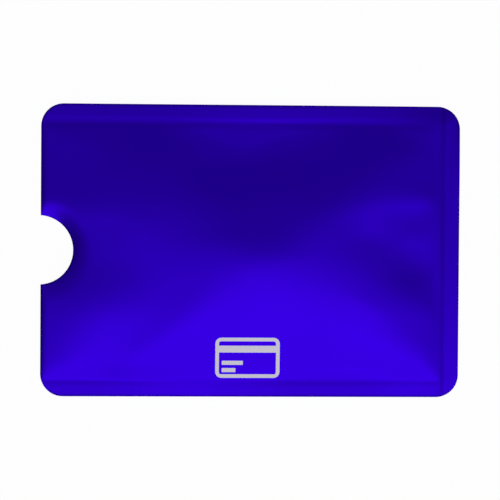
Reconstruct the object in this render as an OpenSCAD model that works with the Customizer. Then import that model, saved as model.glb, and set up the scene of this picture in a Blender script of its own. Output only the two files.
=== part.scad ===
// Card sleeve of welded foil laminate, lying on its back with its open mouth towards -X.
// The origin is under the middle of the outline, on the surface that the sleeve rests on.
// Each wall is three layers: a coloured film outside, a metal foil, and a sealing film inside.

/* [Card] */
// Length of the card that the sleeve holds
card_length = 85.6; // [80:0.1:95]
// Width of the card that the sleeve holds
card_width = 53.98; // [48:0.02:64]
// Thickness of the card that the sleeve holds
card_thickness = 0.76; // [0.5:0.02:1.2]
// Room beside each long edge of the card
side_clearance = 1.01; // [0.6:0.01:1.6]
// Room between the card and the end weld
end_clearance = 0.6; // [0.4:0.05:2]
// Room in the thickness of the pocket, at the mouth
thickness_clearance = 0.24; // [0.1:0.02:0.6]

/* [Outline] */
// How far the mouth stands past the card's near end
mouth_overhang = 0.6; // [0.2:0.1:3]
// Radius of the four outer corners
corner_radius = 4.9; // [2:0.1:8]
// Radius of the round thumb notch punched through both walls
notch_radius = 7.5; // [5:0.1:11]
// How far outside the mouth's edge the notch's centre lies
notch_setback = 0.5; // [0:0.1:1.5]

/* [Welds] */
// Width of the weld along the top long side
top_weld = 4; // [3:0.05:8]
// Width of the weld along the bottom long side
bottom_weld = 3.4; // [3:0.05:8]
// Width of the weld across the closed end
end_weld = 4.2; // [3:0.05:8]
// Width of the line that the welding bar pressed in along each long side
side_press_width = 1.6; // [0.8:0.1:2.6]
// Depth of that line on the front
side_press_depth = 0.03; // [0:0.01:0.1]
// Width of the line that the welding bar pressed in across the closed end
end_press_width = 2.4; // [0.8:0.1:2.6]
// Depth of that line on the front
end_press_depth = 0.08; // [0:0.01:0.1]
// Radius of the pocket's two inner corners
pocket_corner = 1.6; // [1:0.1:2.6]

/* [Laminate] */
// Thickness of the coloured outer film
colour_film = 0.03; // [0.02:0.01:0.08]
// Thickness of the metal foil
foil = 0.02; // [0.01:0.01:0.05]
// Thickness of the sealing film inside
seal_film = 0.1; // [0.08:0.01:0.2]

/* [Pocket] */
// Distance from the weld over which the back wall goes down to its flat
shoulder_run = 1; // [0.6:0.05:1.2]
// Height that the front wall bulges above the plane of the welds
crown_rise = 1.7; // [0.4:0.1:3]
// Place of the crown along the sleeve, from the middle towards the closed end
crown_shift_x = 5; // [-8:0.1:8]
// Place of the crown across the sleeve, from the middle towards the top side
crown_shift_y = -1; // [-4:0.1:4]
// Radius that rounds the ridges at the crown
crown_round = 3; // [0.5:0.5:8]
// How far past the mouth the bulge runs out
gape_reach = 1; // [0:0.5:6]
// How far the front wall drops at the mouth
lip_drop = 0.12; // [0:0.02:0.2]
// Distance from the mouth over which the front wall drops
lip_run = 2.4; // [1:0.1:2.8]
// How far the punch turned the front wall down round the thumb notch
notch_drop = 0.14; // [0:0.02:0.5]
// Distance from the thumb notch over which the front wall is turned down
notch_run = 3.6; // [1:0.1:4]
// Depth of the deepest hollow that handling left in the front wall
relief_depth = 0.38; // [0:0.02:0.5]
// Distance from the weld over which the hollows and swellings begin
relief_fade = 3.5; // [1:0.5:6]

/* [Hidden] */
overrun = 1;
quarter_turn = 90;
round_fn = 96;
// How sharp the ridges are where the bulge's four slopes meet
ridge_power = 2.5;
// Cells between the crown or the notch's rim and the shoulders
cells_along = 5;
cells_across = 3;
// Lines across the back wall's shoulder, as shares of its run
shoulder_shares = [0.25, 0.6, 1];
// Where each pressed line is deepest, as a share of its width, and how much of its depth the back has
side_press_share = 0.2;
end_press_share = 0.54;
back_press_share = 0.4;
// Hollows and swellings of the front wall, as shares: place and reach along of the half length,
// place and reach across of the half width, turn of a quarter turn, and height of relief_depth
relief_shares = [
    [0.04, 0.65, 0.37, 0.22, 0, -1], // hollow in the middle of the top side
    [-0.04, 0.41, 0.31, 0.22, -0.5, -0.65], // hollow from there towards the crown
    [0.44, 0.28, 0.35, 0.16, 0.28, 0.55], // ridge from the crown to the far top corner
    [0.79, -0.03, 0.18, 0.25, 0, -0.45], // hollow at the closed end
    [0.4, -0.82, 0.35, 0.22, 0, -0.35], // hollow along the bottom side
    [-0.42, -0.66, 0.31, 0.16, 0.5, 0.4], // ridge slanting to the bottom side, near the mouth
    [-0.7, 0.25, 0.4, 0.25, 0, 0.65], // swelling above the notch
    [-0.7, -0.35, 0.2, 0.32, 0, 0.65] // swelling below the notch
];

sleeve_length = mouth_overhang + card_length + end_clearance + end_weld;
sleeve_width = bottom_weld + card_width + 2 * side_clearance + top_weld;
mouth_x = -sleeve_length / 2;
end_x = sleeve_length / 2;
bottom_y = -sleeve_width / 2;
top_y = sleeve_width / 2;
pocket_end = end_x - end_weld;
pocket_bottom = bottom_y + bottom_weld;
pocket_top = top_y - top_weld;
notch_x = mouth_x - notch_setback;
notch_tip = notch_x + notch_radius;
notch_reach = notch_radius + notch_run;

wall = colour_film + foil + seal_film;
back_rise = card_thickness + thickness_clearance;
weld_z = wall + back_rise;
sleeve_height = weld_z + crown_rise + relief_depth + wall;

// Share from 0 to 1, and the same made steep at first and flat at the end
function share(t) = max(0, min(1, t));
function turned_up(t) = sin(quarter_turn * share(t));

// Distance inside the welds' inner edge, which is below zero on the welds themselves
function inside(x, y) =
    let (along = pocket_end - x,
         across = min(pocket_top - y, y - pocket_bottom))
    along < pocket_corner && across < pocket_corner
        ? pocket_corner - norm([pocket_corner - along, pocket_corner - across])
        : min(along, across);

// Part of the way down a straight slope with a round top, from 0 to 1
function fallen(distance, reach) =
    (norm([distance, crown_round]) - crown_round) / (norm([reach, crown_round]) - crown_round);

// Four slopes that rise from the welds and the mouth to the crown, with soft ridges between them
function bulge(x, y) =
    let (dx = x - crown_shift_x,
         dy = y - crown_shift_y,
         reach_x = dx > 0 ? pocket_end - crown_shift_x : crown_shift_x - mouth_x + gape_reach,
         reach_y = dy > 0 ? pocket_top - crown_shift_y : crown_shift_y - pocket_bottom,
         along = 1 - fallen(dx, reach_x),
         across = 1 - fallen(dy, reach_y))
    min(along, across) <= 0
        ? 0
        : crown_rise * pow((pow(along, -ridge_power) + pow(across, -ridge_power)) / 2, -1 / ridge_power);

// Height of one hollow or swelling
function swelling(x, y, shares) =
    let (dx = x - shares[0] * end_x,
         dy = y - shares[1] * top_y,
         turn = shares[4] * quarter_turn,
         along = (dx * cos(turn) + dy * sin(turn)) / (shares[2] * end_x),
         across = (dy * cos(turn) - dx * sin(turn)) / (shares[3] * top_y))
    shares[5] * relief_depth * exp(-along * along - across * across);
function total(list) = list * [for (entry = list) 1];
function relief(x, y) =
    turned_up(inside(x, y) / relief_fade) * total([for (shares = relief_shares) swelling(x, y, shares)]);

// How far the front wall is turned down at the mouth and round the thumb notch
function turned_down(x, y) =
    let (lip = lip_drop * pow(share(1 - (x - mouth_x) / lip_run), 2),
         notch = notch_drop * pow(share((notch_reach - norm([x - notch_x, y])) / notch_run), 2))
    max(lip, notch);

// Height that each wall stands off the plane where the two walls meet
function front_gap(x, y) =
    inside(x, y) <= 0 ? 0 : max(0, bulge(x, y) + relief(x, y) - turned_down(x, y));
function back_gap(x, y) = back_rise * turned_up(inside(x, y) / shoulder_run);

// Depth of one pressed line, at a distance outside the pocket
function groove(distance, width, depth, deepest) =
    depth * share(distance < deepest * width
        ? distance / (deepest * width)
        : (width - distance) / (width - deepest * width));
function side_groove(distance) = groove(distance, side_press_width, side_press_depth, side_press_share);
function end_groove(distance) = groove(distance, end_press_width, end_press_depth, end_press_share);

// How much thinner the welding bar left the sealing film on the front: the lines run on to the cut edge
function pressed(x, y) =
    max(side_groove(y - pocket_top), side_groove(pocket_bottom - y), end_groove(x - pocket_end));

// The faces of the layers, from the pocket outwards
front_inner = function (x, y) weld_z + front_gap(x, y);
front_sealed = function (x, y) front_inner(x, y) + seal_film - pressed(x, y);
front_metal = function (x, y) front_sealed(x, y) + foil;
front_outer = function (x, y) front_metal(x, y) + colour_film;
back_inner = function (x, y) weld_z - back_gap(x, y);
back_sealed = function (x, y) back_inner(x, y) - seal_film + back_press_share * pressed(x, y);
back_metal = function (x, y) back_sealed(x, y) - foil;
back_outer = function (x, y) back_metal(x, y) - colour_film;

// Lines of the grid that every face is drawn on: close together over the welds and shoulders
function steps(from, to, cells) = [for (i = [1:cells - 1]) from + (to - from) * i / cells];
function weld_lines(edge, inward, width, deepest) = concat(
    [edge - inward * width, edge - inward * deepest * width, edge],
    [for (s = shoulder_shares) edge + inward * s * shoulder_run]);
function reversed(list) = [for (i = [len(list) - 1:-1:0]) list[i]];

x_lines = concat(
    [mouth_x - overrun, mouth_x + lip_run / 2, mouth_x + lip_run, notch_tip, notch_tip + notch_run],
    steps(notch_tip + notch_run, crown_shift_x, cells_along + 1),
    [crown_shift_x],
    steps(crown_shift_x, pocket_end - shoulder_run, cells_along),
    reversed(weld_lines(pocket_end, -1, end_press_width, end_press_share)),
    [end_x + overrun]);
y_lines = concat(
    [bottom_y - overrun],
    weld_lines(pocket_bottom, 1, side_press_width, side_press_share),
    steps(pocket_bottom + shoulder_run, -notch_reach, cells_across),
    [-notch_reach, -notch_radius, crown_shift_y, notch_radius, notch_reach],
    steps(notch_reach, pocket_top - shoulder_run, cells_across),
    reversed(weld_lines(pocket_top, -1, side_press_width, side_press_share)),
    [top_y + overrun]);
columns = len(x_lines);
rows = len(y_lines);

// A cell's two triangles, cut along the ridge that runs from the crown to the nearest corner
function cell(i, j, base) =
    let (a = base + i * rows + j,
         b = a + rows,
         c = b + 1,
         d = a + 1,
         ridge = (x_lines[i] + x_lines[i + 1] - 2 * crown_shift_x)
               * (y_lines[j] + y_lines[j + 1] - 2 * crown_shift_y) > 0)
    ridge ? [[a, b, c], [a, c, d]] : [[a, b, d], [b, c, d]];

function face_up(t) = [t[2], t[1], t[0]];

// Solid between two faces, over the whole grid
module layer(low, high) {
    last = columns * rows;
    low_points = [for (x = x_lines, y = y_lines) [x, y, low(x, y)]];
    high_points = [for (x = x_lines, y = y_lines) [x, y, high(x, y)]];
    low_faces = [for (i = [0:columns - 2], j = [0:rows - 2], t = cell(i, j, 0)) t];
    high_faces = [for (i = [0:columns - 2], j = [0:rows - 2], t = cell(i, j, last)) face_up(t)];
    rim = concat(
        [for (i = [0:columns - 2]) [i * rows, (i + 1) * rows]],
        [for (j = [0:rows - 2]) [(columns - 1) * rows + j, (columns - 1) * rows + j + 1]],
        [for (i = [columns - 1:-1:1]) [i * rows + rows - 1, (i - 1) * rows + rows - 1]],
        [for (j = [rows - 1:-1:1]) [j, j - 1]]);
    side_faces = [for (e = rim) [e[1], e[0], last + e[0], last + e[1]]];
    polyhedron(concat(low_points, high_points), concat(low_faces, high_faces, side_faces));
}

// The sleeve's outline, with round corners and the thumb notch
module outline() {
    difference() {
        union() {
            translate([mouth_x + corner_radius, bottom_y])
                square([sleeve_length - 2 * corner_radius, sleeve_width]);
            translate([mouth_x, bottom_y + corner_radius])
                square([sleeve_length, sleeve_width - 2 * corner_radius]);
            for (x = [mouth_x + corner_radius, end_x - corner_radius])
                for (y = [bottom_y + corner_radius, top_y - corner_radius])
                    translate([x, y]) circle(corner_radius, $fn = round_fn);
        }
        translate([notch_x, 0]) circle(notch_radius, $fn = round_fn);
    }
}

// The pocket between the welds, open past the mouth
module pocket() {
    translate([mouth_x - overrun, pocket_bottom])
        square([pocket_end - pocket_corner - mouth_x + overrun, pocket_top - pocket_bottom]);
    translate([mouth_x - overrun, pocket_bottom + pocket_corner])
        square([pocket_end - mouth_x + overrun, pocket_top - pocket_bottom - 2 * pocket_corner]);
    for (y = [pocket_bottom + pocket_corner, pocket_top - pocket_corner])
        translate([pocket_end - pocket_corner, y]) circle(pocket_corner, $fn = round_fn);
}

// Cuts a layer to a flat shape, through its whole height
module trim() {
    intersection() {
        children(0);
        translate([0, 0, -overrun])
            linear_extrude(sleeve_height + 2 * overrun) children(1);
    }
}

module front_colour_film() {
    color("mediumblue") trim() {
        layer(front_metal, front_outer);
        outline();
    }
}

module front_foil() {
    color("silver") trim() {
        layer(front_sealed, front_metal);
        outline();
    }
}

module front_seal_film() {
    color("whitesmoke") trim() {
        layer(front_inner, front_sealed);
        intersection() {
            outline();
            pocket();
        }
    }
}

// The band on three sides where the two sealing films have melted into one
module weld_seam() {
    color("gainsboro") trim() {
        layer(back_sealed, front_sealed);
        difference() {
            outline();
            pocket();
        }
    }
}

module back_seal_film() {
    color("whitesmoke") trim() {
        layer(back_sealed, back_inner);
        intersection() {
            outline();
            pocket();
        }
    }
}

module back_foil() {
    color("silver") trim() {
        layer(back_metal, back_sealed);
        outline();
    }
}

module back_colour_film() {
    color("mediumblue") trim() {
        layer(back_outer, back_metal);
        outline();
    }
}

front_colour_film();
front_foil();
front_seal_film();
weld_seam();
back_seal_film();
back_foil();
back_colour_film();
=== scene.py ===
"""Looks of a card sleeve made of two welded sheets of blue foil laminate, lying on a white floor."""
import math

import bpy
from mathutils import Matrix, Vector
from mathutils.geometry import delaunay_2d_cdt


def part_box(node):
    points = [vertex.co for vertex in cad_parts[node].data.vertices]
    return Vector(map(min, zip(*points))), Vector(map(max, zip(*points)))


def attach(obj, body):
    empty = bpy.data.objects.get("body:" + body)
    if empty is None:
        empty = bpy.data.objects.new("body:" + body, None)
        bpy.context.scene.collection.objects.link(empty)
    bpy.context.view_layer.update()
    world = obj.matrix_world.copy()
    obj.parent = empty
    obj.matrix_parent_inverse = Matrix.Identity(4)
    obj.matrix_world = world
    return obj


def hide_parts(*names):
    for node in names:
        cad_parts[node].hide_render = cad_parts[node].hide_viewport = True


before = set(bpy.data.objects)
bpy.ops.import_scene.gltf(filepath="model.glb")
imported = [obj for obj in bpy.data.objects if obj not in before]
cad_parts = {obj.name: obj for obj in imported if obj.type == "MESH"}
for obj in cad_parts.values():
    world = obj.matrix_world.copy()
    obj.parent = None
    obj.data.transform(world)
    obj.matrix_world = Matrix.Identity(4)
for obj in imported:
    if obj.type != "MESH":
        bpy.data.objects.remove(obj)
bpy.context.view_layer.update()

MM = 0.001

# Thickness of the laminate's layers, in mm
COLOUR_FILM = 0.03
FOIL = 0.02
SEAL_FILM = 0.10
WALL = COLOUR_FILM + FOIL + SEAL_FILM

# Welds and shoulders, in mm
TOP_WELD = 4.0
BOTTOM_WELD = 3.4
END_WELD = 4.2
POCKET_CORNER = 1.6
SHOULDER_RUN = 1.0
BACK_RISE = 1.0
# Height of the plane where the two walls meet
WELD_Z = WALL + BACK_RISE

# Pressed lines of the welds: distance from the cut edge to the deepest place,
# width outside and inside it, and depth, in mm
PRESSED = {
    "top": (3.75, 1.4, 1.6, 0.025),
    "bottom": (3.6, 1.4, 1.3, 0.012),
    "end": (2.8, 2.6, 1.6, 0.12),
}
# Part of the front's depth that the back's lines have
BACK_SHARE = 0.4
# The lines along the top and bottom bow inwards and outwards: middle and reach along,
# and depth of the bow, in mm
TOP_BOW = (2.0, 15.0, 0.35)
BOTTOM_BOW = (-12.0, 15.0, -0.3)
# Where the bottom line is hardly pressed: middle and reach along the sleeve, in mm,
# and the part that is left
FAINT_X = -12.0
FAINT_REACH = 13.0
FAINT_SHARE = 0.25
# Where the top line fades out towards the far corner: start and end, in mm,
# and the part that is left
TOP_FADE = (35.5, 40.5)
CORNER_SHARE = 0.2

# Curls of the welded band out of its plane, each as x and y of the middle, reach along and across,
# turn in degrees, and height at the cut edge, in mm
CURLS = {
    "up in the middle of the top": (4.0, 30.0, 20.0, 10.0, 0, 0.09),
    "up at the far end": (43.5, 20.0, 6.0, 10.0, 0, 0.2),
    "down at the far top corner": (44.0, 33.0, 10.0, 10.0, 0, -0.36),
    "down near the middle of the bottom": (-13.0, -30.0, 13.0, 10.0, 0, -0.07),
    "down near the far bottom corner": (35.0, -30.0, 7.0, 7.0, 0, -0.05),
}
# How late the closed end's curl begins on its way to the cut edge
END_CURL_POWER = 2

# Bulge of the front wall, in mm, and how sharp its ridges are
CROWN_RISE = 1.7
CROWN_X = 5.0
CROWN_Y = -1.0
CROWN_ROUND = 3.0
GAPE_REACH = 1.0
RIDGE_POWER = 2.5

# Soft swellings and hollows of the front wall, as handling leaves them:
# x and y of the middle, reach along and across, turn in degrees, and height, in mm
RELIEF = {
    "hollow in the middle of the top": (2.0, 20.5, 15.0, 7.0, 0, -0.42),
    "hollow from the top towards the crown": (-2.0, 13.0, 14.0, 7.0, -45, -0.25),
    "ridge from the crown to the far top corner": (20.0, 9.0, 16.0, 5.0, 25, 0.2),
    "dimple under that ridge": (20.0, 6.8, 7.0, 3.0, 20, -0.05),
    "fold on the near side of the crown": (-5.0, 2.0, 7.0, 2.5, 0, 0.04),
    "swelling at the far top corner": (26.0, 17.0, 8.0, 6.0, 60, 0.15),
    "hollow at the closed end": (36.0, -1.0, 8.0, 8.0, 0, -0.18),
    "upper crease at the closed end": (36.5, 12.0, 6.0, 2.6, 6, 0.08),
    "small swelling between the creases": (36.5, 3.0, 5.0, 3.0, 0, 0.04),
    "hollow near the far top corner": (35.0, 24.5, 4.5, 3.2, 0, -0.1),
    "dent at the notch's upper end": (-44.0, 6.8, 2.6, 1.6, 0, -0.12),
    "dent beside the notch": (-40.5, 0.5, 4.0, 4.5, 0, -0.1),
    "dent above that": (-41.0, 4.2, 3.0, 4.2, 15, -0.3),
    "hollow above the notch": (-33.0, 21.0, 9.0, 5.0, 0, -0.06),
    "dimple between the notch and the crown": (-33.0, 5.0, 8.0, 3.5, 0, -0.05),
    "lower crease at the closed end": (33.0, -9.5, 11.0, 4.5, -27, 0.1),
    "fold between it and the crown": (26.0, -12.0, 7.0, 3.0, -27, 0.05),
    "dimple above that crease": (37.0, -4.2, 3.5, 2.5, 0, -0.03),
    "dimple above that fold": (26.0, 2.5, 4.0, 3.0, 0, -0.04),
    "swelling at the far bottom corner": (34.0, -22.0, 8.0, 6.5, -30, 0.1),
    "hollow along the bottom": (18.0, -27.0, 16.0, 7.0, 0, -0.16),
    "ridge to the near bottom edge": (-18.5, -21.0, 14.0, 5.0, 45, 0.19),
    "swelling at the near bottom edge": (-26.0, -27.0, 7.0, 5.0, 50, 0.24),
    "swelling above the notch": (-32.0, 8.0, 18.0, 8.0, 0, 0.25),
    "swelling below the notch": (-33.0, -12.0, 9.0, 9.0, 0, 0.22),
}
# Distance from the welds over which they begin, in mm
RELIEF_FADE = 3.5
# Radius of the soft bend where the front wall leaves the long welds, in mm
WELD_ROUND = 0.6

# Outline, in mm
CORNER_RADIUS = 4.9
NOTCH_RADIUS = 7.5
NOTCH_SETBACK = 0.5

# The front wall turns down at the mouth and more at the notch, in mm. Every cut edge is pinched, but
# along the bottom the die pushed it up, by BURR_SHARE. The back has BACK_PINCH of it
MOUTH_DROP = 0.075
MOUTH_RUN = 1.6
NOTCH_DROP = 0.14
NOTCH_RUN = 3.6
NOTCH_POWER = 1.5
PINCH_DROP = 0.06
PINCH_RUN = 0.5
BURR_SHARE = 0.35
BACK_PINCH = 0.5

# Printed mark: its outline and the line's width, its bars (x and y from its middle, width and height),
# where its middle lies, and how far the ink is sunk into and stands proud of the film, in mm
MARK_WIDTH = 14.0
MARK_HEIGHT = 8.8
MARK_RADIUS = 1.3
MARK_LINE = 0.8
MARK_OUTER = (MARK_WIDTH, MARK_HEIGHT, MARK_RADIUS)
MARK_INNER = (MARK_WIDTH - 2 * MARK_LINE, MARK_HEIGHT - 2 * MARK_LINE, MARK_RADIUS - MARK_LINE)
MARK_BARS = [
    (0.0, 1.9, 12.6, 1.5),
    (-3.3, -1.1, 4.6, 0.9),
    (-4.1, -2.7, 3.0, 0.9),
]
BAR_RADIUS = 0.12
MARK_X = -0.6
MARK_Y = -23.2
MARK_STEP = 0.6
INK_SUNK = 0.008
INK_PROUD = 0.012

# Light of the studio, as (part of the direction along the axis, level): from the near side to the far side,
# the share of it from the left to the right, and the share of the walls from straight down to straight up
NEAR_TO_FAR = [
    (-1.0, 0.82), (-0.3, 0.86), (-0.17, 1.0), (-0.1, 0.88), (-0.045, 0.4), (0.03, 0.375),
    (0.1, 0.335), (0.2, 0.27), (1.0, 0.1),
]
LEFT_TO_RIGHT = [
    (-1.0, 0.0), (-0.4, 0.1), (-0.3, 0.25), (-0.15, 0.84), (-0.08, 0.95), (0.02, 1.0),
    (0.26, 1.0), (0.42, 0.35), (1.0, 0.2),
]
HORIZON = [(-1.0, 1.0), (0.2, 1.0), (0.45, 0.0), (1.0, 0.0)]
# Level where the share from the left to the right is 0, and level of the walls
DIM = 0.12
WALLS = 0.6

# The floor: half its width and its height in metres, its paint for indirect light,
# and its paint and white glow where it is seen directly
FLOOR_HALF = 3.0
FLOOR_Z = -0.00001
FLOOR_PAINT = 0.9
FLOOR_SHADE = 0.11
FLOOR_GLOW = 0.95

# Camera: focal length and place in mm, and turn in degrees
CAMERA_LENS = 140
CAMERA_PLACE = (-20.01, 8.93, 423.23)
CAMERA_TURN = (-1.198, -2.682, 0.385)

# Materials: colours, sizes of the grain in metres, roughness from and to,
# and bump as strength and distance in metres
BLUE_COLOURS = ((0.040, 0.0, 0.84, 1), (0.048, 0.0, 0.92, 1))
BLUE_CLOUD = 0.018
BLUE_GRAIN = 0.00035
BLUE_ROUGH = (0.13, 0.23)
BLUE_BUMP = (0.08, 0.00003)
FOIL_COLOUR = (0.9, 0.91, 0.92, 1)
FOIL_GRAIN = 0.0004
FOIL_STRETCH = (0.05, 1, 1)
FOIL_ROUGH = (0.14, 0.3)
FOIL_BUMP = (0.1, 0.00002)
LINING_COLOUR = (0.84, 0.85, 0.86, 1)
WELD_COLOUR = (0.75, 0.77, 0.79, 1)
FILM_HAZE = 0.0015
FILM_ROUGH = (0.32, 0.5)
FILM_BUMP = (0.15, 0.00005)
INK_COLOURS = ((0.72, 0.69, 0.80, 1), (0.80, 0.77, 0.89, 1))
INK_SPECKS = 0.0003
INK_ROUGH = (0.22, 0.34)
INK_METALLIC = 0.9
# Detail of soft and of fine noise
SOFT_DETAIL = 3.0
FINE_DETAIL = 2.0
# Where the mix node has its two colours and its result
MIX_FIRST = 6
MIX_SECOND = 7
MIX_RESULT = 2

# Spacing of the mesh in mm: everywhere, next to the mouth, and close together outside and inside
# the welds' inner edge
STEP = 0.9
MOUTH_STEP = 0.45
WELD_STEP = 0.2
FINE_OUTSIDE = 3.0
FINE_INSIDE = 1.6
# Rings of points inside the cut edge, their spacing in arcs and on straights,
# and the clear strip inside them, in mm
RINGS = (0.0, 0.12, 0.3, 0.55)
RING_STEP = 0.4
STRAIGHT_STEP = 2 * RING_STEP
RING_CLEAR = 0.7
# Points closer than this are one, in mm, and edges sharper than this stay sharp, in degrees
MERGE = 1e-6
SHARP_ANGLE = 50


def box_mm(node):
    """Low and high corner of a CAD node's box, in mm."""
    low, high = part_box(node)
    return [v / MM for v in low], [v / MM for v in high]


(MOUTH_X, BOTTOM_Y, _), (END_X, TOP_Y, _) = box_mm("front_colour_film")
POCKET_BOTTOM = BOTTOM_Y + BOTTOM_WELD
POCKET_TOP = TOP_Y - TOP_WELD
POCKET_END = END_X - END_WELD
NOTCH_X = MOUTH_X - NOTCH_SETBACK


# Shapes of the walls

def share(t):
    """t, held between 0 and 1."""
    return max(0.0, min(1.0, t))


def eased(t):
    """From 0 to 1, flat at both ends."""
    s = share(t)
    return s * s * (3 - 2 * s)


def turned_up(t):
    """From 0 to 1, steep at first and flat at the end."""
    return math.sin(math.pi / 2 * share(t))


def inside_pocket(x, y):
    """Distance inside the welds' inner edge, in mm: below zero on the welds."""
    along = POCKET_END - x
    across = min(POCKET_TOP - y, y - POCKET_BOTTOM)
    if along < POCKET_CORNER and across < POCKET_CORNER:
        return POCKET_CORNER - math.hypot(POCKET_CORNER - along, POCKET_CORNER - across)
    return min(along, across)


def inside_outline(x, y):
    """Distance inside the sleeve's cut edge, in mm."""
    along = min(x - MOUTH_X, END_X - x)
    across = min(y - BOTTOM_Y, TOP_Y - y)
    if along < CORNER_RADIUS and across < CORNER_RADIUS:
        box = CORNER_RADIUS - math.hypot(CORNER_RADIUS - along, CORNER_RADIUS - across)
    else:
        box = min(along, across)
    return min(box, math.hypot(x - NOTCH_X, y) - NOTCH_RADIUS)


def fallen(distance, reach):
    """Part of the way down a straight slope with a round top, from 0 to 1."""
    return (math.hypot(distance, CROWN_ROUND) - CROWN_ROUND) / (math.hypot(reach, CROWN_ROUND) - CROWN_ROUND)


def bulge(x, y):
    """A soft hip roof: four faces that rise to the crown, with round ridges towards the corners."""
    dx, dy = x - CROWN_X, y - CROWN_Y
    reach_x = POCKET_END - CROWN_X if dx > 0 else CROWN_X - MOUTH_X + GAPE_REACH
    reach_y = POCKET_TOP - CROWN_Y if dy > 0 else CROWN_Y - POCKET_BOTTOM
    along, across = 1 - fallen(dx, reach_x), 1 - fallen(dy, reach_y)
    if min(along, across) <= 0:
        return 0.0
    return CROWN_RISE * ((along ** -RIDGE_POWER + across ** -RIDGE_POWER) / 2) ** (-1 / RIDGE_POWER)


def swelling(x, y, cx, cy, reach_along, reach_across, turn, height):
    """Height of one soft swelling, or of a hollow where height is below zero."""
    c, s = math.cos(math.radians(turn)), math.sin(math.radians(turn))
    along = ((x - cx) * c + (y - cy) * s) / reach_along
    across = ((y - cy) * c - (x - cx) * s) / reach_across
    return height * math.exp(-along ** 2 - across ** 2)


def rim(x, y):
    """How far the front wall is turned down at the mouth and round the notch."""
    mouth = MOUTH_DROP * share(1 - (x - MOUTH_X) / MOUTH_RUN) ** 2
    notch = NOTCH_DROP * share(1 - (math.hypot(x - NOTCH_X, y) - NOTCH_RADIUS) / NOTCH_RUN) ** NOTCH_POWER
    return max(mouth, notch)


def pinch(x, y):
    """How far the cut edge is turned down, or up where it faces the near side."""
    facing = share((BOTTOM_Y + CORNER_RADIUS - y) / CORNER_RADIUS)
    down = 1 - (1 + BURR_SHARE) * eased(facing)
    return PINCH_DROP * share(1 - inside_outline(x, y) / PINCH_RUN) ** 2 * down


def curl(x, y):
    """How far the welded band stands off its plane."""
    across = max(y - POCKET_TOP, POCKET_BOTTOM - y)
    part = max(share(across / BOTTOM_WELD), share((x - POCKET_END) / END_WELD) ** END_CURL_POWER)
    return part * sum(swelling(x, y, *form) for form in CURLS.values())


def groove(distance, middle, outside, inside, depth):
    """Depth of one pressed line at a distance inside the cut edge."""
    part = (distance - middle) / (inside if distance > middle else outside)
    return depth * (1 + math.cos(math.pi * part)) / 2 if abs(part) < 1 else 0.0


def bow(x, middle, reach, depth):
    """A soft bow that is deepest at the middle."""
    return depth * math.exp(-((x - middle) / reach) ** 2)


def pressed(x, y):
    """Depth of the welds' pressed lines, which run straight on to the cut edge."""
    faint = 1 - bow(x, FAINT_X, FAINT_REACH, 1 - FAINT_SHARE)
    fading = 1 - (1 - CORNER_SHARE) * eased((x - TOP_FADE[0]) / (TOP_FADE[1] - TOP_FADE[0]))
    top = groove(TOP_Y - y - bow(x, *TOP_BOW), *PRESSED["top"])
    bottom = groove(y - BOTTOM_Y - bow(x, *BOTTOM_BOW), *PRESSED["bottom"])
    return max(fading * top, faint * bottom, groove(END_X - x, *PRESSED["end"]))


def front_gap(x, y):
    """Height of the front wall's inner face above the plane of the welds."""
    inside = inside_pocket(x, y)
    if inside <= 0:
        return 0.0
    relief = sum(swelling(x, y, *form) for form in RELIEF.values()) * turned_up(inside / RELIEF_FADE)
    across = min(POCKET_TOP - y, y - POCKET_BOTTOM)
    bent = (math.hypot(across, WELD_ROUND) - WELD_ROUND) / across
    return bent * max(0.0, bulge(x, y) + relief - rim(x, y))


def back_gap(x, y):
    """Depth of the back wall's inner face below the plane of the welds."""
    return BACK_RISE * turned_up(inside_pocket(x, y) / SHOULDER_RUN)


def front(offset):
    """Height of the front wall's face that lies offset mm out from its inner face."""
    def height(x, y):
        squeezed = pressed(x, y) if offset else 0.0
        return WELD_Z + front_gap(x, y) + curl(x, y) + offset - squeezed - pinch(x, y)
    return height


def back(offset):
    """Height of the back wall's face that lies offset mm out from its inner face."""
    def height(x, y):
        squeezed = BACK_SHARE * pressed(x, y) if offset else 0.0
        return WELD_Z - back_gap(x, y) + curl(x, y) - offset + squeezed + BACK_PINCH * abs(pinch(x, y))
    return height


# Mesh of the sleeve's outline

def spaced(start, end, step):
    """Places from start to just before end, step apart or less."""
    count = max(1, math.ceil(abs(end - start) / step))
    return [start + (end - start) * i / count for i in range(count)]


def lines(low_edge, low_weld, high_weld, high_edge):
    """Grid lines from edge to edge, close together across the welds and shoulders. The mouth has no weld."""
    outer, inner = FINE_OUTSIDE, FINE_INSIDE
    found = []
    if low_weld is None:
        found += spaced(low_edge, low_edge + NOTCH_RUN, MOUTH_STEP)
        inner_start = low_edge + NOTCH_RUN
    else:
        found += spaced(low_edge, low_weld - outer, STEP)
        found += spaced(low_weld - outer, low_weld, WELD_STEP)
        found += spaced(low_weld, low_weld + inner, WELD_STEP)
        inner_start = low_weld + inner
    found += spaced(inner_start, high_weld - inner, STEP)
    found += spaced(high_weld - inner, high_weld, WELD_STEP)
    found += spaced(high_weld, high_weld + outer, WELD_STEP)
    found += spaced(high_weld + outer, high_edge, STEP)
    return found


def arc(cx, cy, r, start, end, step):
    """Points along an arc, with both its ends."""
    count = max(2, math.ceil(abs(end - start) * r / step))
    turns = [start + (end - start) * i / count for i in range(count + 1)]
    return [(cx + r * math.cos(turn), cy + r * math.sin(turn)) for turn in turns]


def straight(a, b, step):
    """Points between a and b, without either."""
    count = max(1, math.ceil(math.dist(a, b) / step))
    (ax, ay), (bx, by) = a, b
    return [(ax + (bx - ax) * i / count, ay + (by - ay) * i / count) for i in range(1, count)]


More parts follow.
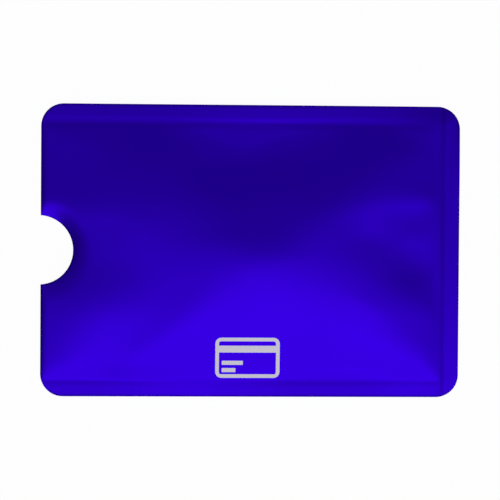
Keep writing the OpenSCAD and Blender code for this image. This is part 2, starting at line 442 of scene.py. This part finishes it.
def outline_ring(inset):
    """Points round the cut edge, inset mm inside it, anticlockwise from the mouth's lower corner."""
    x0, x1, y0, y1 = MOUTH_X + inset, END_X - inset, BOTTOM_Y + inset, TOP_Y - inset
    r, notch = CORNER_RADIUS - inset, NOTCH_RADIUS + inset
    half = math.acos((x0 - NOTCH_X) / notch)
    quarter = math.pi / 2
    arcs = [
        arc(x0 + r, y0 + r, r, 2 * quarter, 3 * quarter, RING_STEP),
        arc(x1 - r, y0 + r, r, 3 * quarter, 4 * quarter, RING_STEP),
        arc(x1 - r, y1 - r, r, 0, quarter, RING_STEP),
        arc(x0 + r, y1 - r, r, quarter, 2 * quarter, RING_STEP),
        arc(NOTCH_X, 0, notch, half, -half, RING_STEP),
    ]
    ring = []
    for here, following in zip(arcs, arcs[1:] + arcs[:1]):
        ring += here + straight(here[-1], following[0], STRAIGHT_STEP)
    return ring


def pocket_line():
    """Points along the welds' inner edge, from the mouth round the closed end and back."""
    r, quarter = POCKET_CORNER, math.pi / 2
    low = arc(POCKET_END - r, POCKET_BOTTOM + r, r, 3 * quarter, 4 * quarter, WELD_STEP)
    high = arc(POCKET_END - r, POCKET_TOP - r, r, 0, quarter, WELD_STEP)
    start = (MOUTH_X + PINCH_RUN, POCKET_BOTTOM)
    end = (MOUTH_X + PINCH_RUN, POCKET_TOP)
    return [start] + low + high + [end]


def centre(flat, t):
    """Middle of a triangle."""
    return sum(flat[i][0] for i in t) / len(t), sum(flat[i][1] for i in t) / len(t)


def add_loop(points, edges, loop):
    """Adds a closed loop to the points, and its edges."""
    base = len(points)
    points += loop
    edges += [(base + i, base + (i + 1) % len(loop)) for i in range(len(loop))]


def filled(points, edges, wanted):
    """The points, and the triangles between them whose centre is wanted."""
    found = delaunay_2d_cdt([Vector(p) for p in points], edges, [], 0, MERGE)
    flat = [(v.x, v.y) for v in found[0]]
    return flat, [tuple(t) for t in found[2] if wanted(*centre(flat, t))]


def triangulate():
    """Points and triangles of the whole outline, with edges along the welds' inner edge."""
    points, edges = [], []
    for inset in RINGS:
        add_loop(points, edges, outline_ring(inset))
    seam = [p for p in pocket_line() if inside_outline(*p) > 0]
    base = len(points)
    points += seam
    edges += [(base + i, base + i + 1) for i in range(len(seam) - 1)]
    for x in lines(MOUTH_X, None, POCKET_END, END_X):
        for y in lines(BOTTOM_Y, POCKET_BOTTOM, POCKET_TOP, TOP_Y):
            if inside_outline(x, y) > RING_CLEAR:
                points.append((x, y))
    return filled(points, edges, lambda x, y: inside_outline(x, y) > 0)


def solid(name, flat, triangles, low, high):
    """A closed solid between two heights over the triangles, as an object in metres."""
    used = sorted({i for t in triangles for i in t})
    new = {old: i for i, old in enumerate(used)}
    count = len(used)
    vertices = [(flat[i][0] * MM, flat[i][1] * MM, high(*flat[i]) * MM) for i in used]
    vertices += [(flat[i][0] * MM, flat[i][1] * MM, low(*flat[i]) * MM) for i in used]
    faces, edges = [], {}
    for t in triangles:
        a, b, c = (new[i] for i in t)
        faces.append((a, b, c))
        faces.append((c + count, b + count, a + count))
        for e in ((a, b), (b, c), (c, a)):
            edges[e] = True
    for a, b in list(edges):
        if (b, a) not in edges:
            faces.append((b, a, a + count, b + count))
    mesh = bpy.data.meshes.new(name)
    mesh.from_pydata(vertices, [], faces)
    mesh.validate()
    mesh.shade_smooth()
    mesh.set_sharp_from_angle(angle=math.radians(SHARP_ANGLE))
    piece = bpy.data.objects.new(name, mesh)
    bpy.context.scene.collection.objects.link(piece)
    return piece


# Materials

class Nodes:
    """A short way to make a node tree and link its sockets."""

    def __init__(self, tree):
        self.tree = tree
        tree.nodes.clear()

    def add(self, kind, inputs=None, **settings):
        node = self.tree.nodes.new(kind)
        for key, value in settings.items():
            setattr(node, key, value)
        for key, value in (inputs or {}).items():
            if isinstance(value, bpy.types.NodeSocket):
                self.tree.links.new(value, node.inputs[key])
            else:
                node.inputs[key].default_value = value
        return node


def material(name):
    """A new material, its nodes, and the object's own coordinates."""
    made = bpy.data.materials.new(name)
    made.use_nodes = True
    nodes = Nodes(made.node_tree)
    return made, nodes, nodes.add("ShaderNodeTexCoord").outputs["Object"]


def noise(nodes, place, size, detail=SOFT_DETAIL, stretch=(1, 1, 1)):
    """Noise from 0 to 1 with features about size metres across."""
    scaled = nodes.add("ShaderNodeMapping", {"Vector": place, "Scale": stretch})
    return nodes.add("ShaderNodeTexNoise",
                     {"Vector": scaled.outputs[0], "Scale": 1 / size, "Detail": detail}).outputs[0]


def between(nodes, value, low, high):
    """value from 0 to 1 turned into low to high."""
    return nodes.add("ShaderNodeMapRange", {"Value": value, "To Min": low, "To Max": high}).outputs[0]


def mixed(nodes, value, first, second):
    """The first colour where value is 0, and the second where it is 1."""
    node = nodes.add("ShaderNodeMix", {"Factor": value}, data_type="RGBA")
    node.inputs[MIX_FIRST].default_value = first
    node.inputs[MIX_SECOND].default_value = second
    return node.outputs[MIX_RESULT]


def bumped(nodes, height, strength, distance):
    """A normal that follows a fine height from 0 to 1."""
    node = nodes.add("ShaderNodeBump", {"Height": height, "Strength": strength, "Distance": distance})
    return node.outputs[0]


def surface(nodes, settings):
    """Ends a material's nodes in a shader with these settings."""
    shader = nodes.add("ShaderNodeBsdfPrincipled", settings)
    nodes.add("ShaderNodeOutputMaterial", {"Surface": shader.outputs[0]})


def blue_film():
    """Satin metallic blue: a dyed lacquer over bright foil, with a soft cloud and a fine grain."""
    made, nodes, place = material("blue_film")
    cloud = noise(nodes, place, BLUE_CLOUD)
    grain = noise(nodes, place, BLUE_GRAIN, FINE_DETAIL)
    surface(nodes, {
        "Base Color": mixed(nodes, cloud, *BLUE_COLOURS),
        "Metallic": 1.0,
        "Roughness": between(nodes, grain, *BLUE_ROUGH),
        "Normal": bumped(nodes, grain, *BLUE_BUMP),
    })
    return made


def foil():
    """Bright foil with the fine lines of rolling."""
    made, nodes, place = material("foil")
    rolled = noise(nodes, place, FOIL_GRAIN, FINE_DETAIL, FOIL_STRETCH)
    surface(nodes, {
        "Base Color": FOIL_COLOUR,
        "Metallic": 1.0,
        "Roughness": between(nodes, rolled, *FOIL_ROUGH),
        "Normal": bumped(nodes, rolled, *FOIL_BUMP),
    })
    return made


def seal_film(name, colour):
    """Milky heat-sealing film, slightly hazy."""
    made, nodes, place = material(name)
    haze = noise(nodes, place, FILM_HAZE)
    surface(nodes, {
        "Base Color": colour,
        "Metallic": 0.0,
        "Roughness": between(nodes, haze, *FILM_ROUGH),
        "Normal": bumped(nodes, haze, *FILM_BUMP),
    })
    return made


def ink():
    """Silver-grey screen print, darker in specks where the ink is thin."""
    made, nodes, place = material("silver_ink")
    specks = noise(nodes, place, INK_SPECKS, FINE_DETAIL)
    surface(nodes, {
        "Base Color": mixed(nodes, specks, *INK_COLOURS),
        "Metallic": INK_METALLIC,
        "Roughness": between(nodes, specks, *INK_ROUGH),
    })
    return made


# Floor, light and camera

def seen_directly(nodes):
    """1 for what the camera sees directly, in metal or through glass, and otherwise 0."""
    path = nodes.add("ShaderNodeLightPath").outputs
    seen = nodes.add("ShaderNodeMath", {0: path["Is Camera Ray"], 1: path["Is Glossy Ray"]}, operation="ADD")
    return nodes.add("ShaderNodeMath", {0: seen.outputs[0], 1: path["Is Transmission Ray"]}, operation="ADD",
                     use_clamp=True).outputs[0]


def make_floor():
    """A plain white floor, even where it is seen directly, and lit by the studio for all other light."""
    half, z = FLOOR_HALF, FLOOR_Z
    corners = [(-half, -half, z), (half, -half, z), (half, half, z), (-half, half, z)]
    mesh = bpy.data.meshes.new("floor")
    mesh.from_pydata(corners, [], [(0, 1, 2, 3)])
    floor = bpy.data.objects.new("floor", mesh)
    bpy.context.scene.collection.objects.link(floor)
    made = bpy.data.materials.new("white_floor")
    made.use_nodes = True
    nodes = Nodes(made.node_tree)
    seen = seen_directly(nodes)
    tone = between(nodes, seen, FLOOR_PAINT, FLOOR_SHADE)
    paint = nodes.add("ShaderNodeBsdfDiffuse", {"Color": tone})
    glow = nodes.add("ShaderNodeEmission", {"Strength": between(nodes, seen, 0.0, FLOOR_GLOW)})
    both = nodes.add("ShaderNodeAddShader", {0: paint.outputs[0], 1: glow.outputs[0]})
    nodes.add("ShaderNodeOutputMaterial", {"Surface": both.outputs[0]})
    mesh.materials.append(made)


def ramp(nodes, value, stops):
    """A grey ramp through stops of (place from -1 to 1, level)."""
    place = nodes.add("ShaderNodeMapRange", {"Value": value, "From Min": -1, "From Max": 1}).outputs[0]
    node = nodes.add("ShaderNodeValToRGB", {0: place})
    elements = node.color_ramp.elements
    while len(elements) < len(stops):
        elements.new(0.5)
    for element, (at, level) in zip(elements, stops):
        element.position = (at + 1) / 2
        element.color = (level, level, level, 1)
    return node.outputs[0]


def make_sky():
    """A soft studio: a broad light on the near side, a dim ceiling on the far side and pale walls."""
    world = bpy.data.worlds.new("studio")
    bpy.context.scene.world = world
    world.use_nodes = True
    nodes = Nodes(world.node_tree)
    way = nodes.add("ShaderNodeTexCoord").outputs["Generated"]
    x, y, z = nodes.add("ShaderNodeSeparateXYZ", {0: way}).outputs
    level = ramp(nodes, y, NEAR_TO_FAR)
    window = ramp(nodes, x, LEFT_TO_RIGHT)
    lit = nodes.add("ShaderNodeMix", {"Factor": window, "A": DIM, "B": level}, data_type="FLOAT").outputs[0]
    low = ramp(nodes, z, HORIZON)
    level = nodes.add("ShaderNodeMix", {"Factor": low, "A": lit, "B": WALLS}, data_type="FLOAT").outputs[0]
    studio = nodes.add("ShaderNodeBackground", {"Color": level, "Strength": 1.0})
    white = nodes.add("ShaderNodeBackground", {"Color": (1, 1, 1, 1), "Strength": 1.0})
    path = nodes.add("ShaderNodeLightPath").outputs
    both = nodes.add("ShaderNodeMixShader",
                     {0: path["Is Camera Ray"], 1: studio.outputs[0], 2: white.outputs[0]})
    nodes.add("ShaderNodeOutputWorld", {"Surface": both.outputs[0]})


def make_camera():
    """Nearly straight above, leaning a little towards the mouth, as the photo's edges run."""
    data = bpy.data.cameras.new("camera")
    data.lens = CAMERA_LENS
    camera = bpy.data.objects.new("camera", data)
    camera.location = [v * MM for v in CAMERA_PLACE]
    camera.rotation_euler = [math.radians(v) for v in CAMERA_TURN]
    bpy.context.scene.collection.objects.link(camera)
    bpy.context.scene.camera = camera


# The sleeve's pieces

def dress(piece, look, node=None):
    """Gives a piece its material and its body, and hides the CAD node that it stands for."""
    piece.data.materials.append(look)
    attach(piece, "root")
    if node:
        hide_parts(node)


def make_sleeve():
    """The three layers of each wall, and the weld between them."""
    flat, everywhere = triangulate()
    in_pocket = [t for t in everywhere if inside_pocket(*centre(flat, t)) > 0]
    on_weld = [t for t in everywhere if inside_pocket(*centre(flat, t)) <= 0]
    blue, metal = blue_film(), foil()
    lining, fused = seal_film("seal_film", LINING_COLOUR), seal_film("weld", WELD_COLOUR)
    sealed, foiled = SEAL_FILM, SEAL_FILM + FOIL
    layers = (
        ("colour_film", foiled, WALL, everywhere, blue, "blue_film"),
        ("foil", sealed, foiled, everywhere, metal, "foil"),
        ("seal_film", 0.0, sealed, in_pocket, lining, "seal_film"),
    )
    for side, face in (("front", front), ("back", back)):
        for layer, start, end, where, look, slot in layers:
            low, high = (start, end) if side == "front" else (end, start)
            piece = solid(f"{side}_{layer}_skin", flat, where, face(low), face(high))
            dress(piece, look, f"{side}_{layer}")
    weld = solid("weld_seam_skin", flat, on_weld, back(sealed), front(sealed))
    dress(weld, fused, "weld_seam")


def ring(width, height, radius):
    """Points round a rounded rectangle about the origin, anticlockwise."""
    quarter = math.pi / 2
    points = []
    for i, (sx, sy) in enumerate(((1, 1), (-1, 1), (-1, -1), (1, -1))):
        cx, cy = sx * (width / 2 - radius), sy * (height / 2 - radius)
        points += arc(cx, cy, radius, i * quarter, (i + 1) * quarter, MARK_STEP)
    return points


def in_ring(x, y, width, height, radius):
    """Whether a place lies inside a rounded rectangle about the origin."""
    dx, dy = abs(x) - (width / 2 - radius), abs(y) - (height / 2 - radius)
    return math.hypot(max(dx, 0), max(dy, 0)) <= radius and max(dx, dy) <= radius


def printed(x, y):
    """Whether a place of the mark has ink: on its outline, or in a bar."""
    framed = in_ring(x, y, *MARK_OUTER) and not in_ring(x, y, *MARK_INNER)
    barred = any(in_ring(x - cx, y - cy, w, h, BAR_RADIUS) for cx, cy, w, h in MARK_BARS)
    return framed or barred


def make_mark():
    """A plain picture of a card, printed on the film: an outline, a stripe and two short bars."""
    points, edges = [], []
    add_loop(points, edges, ring(*MARK_OUTER))
    add_loop(points, edges, ring(*MARK_INNER))
    for cx, cy, w, h in MARK_BARS:
        add_loop(points, edges, [(cx + x, cy + y) for x, y in ring(w, h, BAR_RADIUS)])
    for x in spaced(-MARK_WIDTH / 2, MARK_WIDTH / 2, MARK_STEP):
        for y in spaced(-MARK_HEIGHT / 2, MARK_HEIGHT / 2, MARK_STEP):
            points.append((x + MARK_STEP / 2, y + MARK_STEP / 2))
    flat, inked = filled(points, edges, printed)
    moved = [(x + MARK_X, y + MARK_Y) for x, y in flat]
    piece = solid("printed_mark", moved, inked, front(WALL - INK_SUNK), front(WALL + INK_PROUD))
    dress(piece, ink())


make_floor()
make_sky()
make_camera()
make_sleeve()
make_mark()
bpy.context.scene.view_settings.view_transform = "Standard"
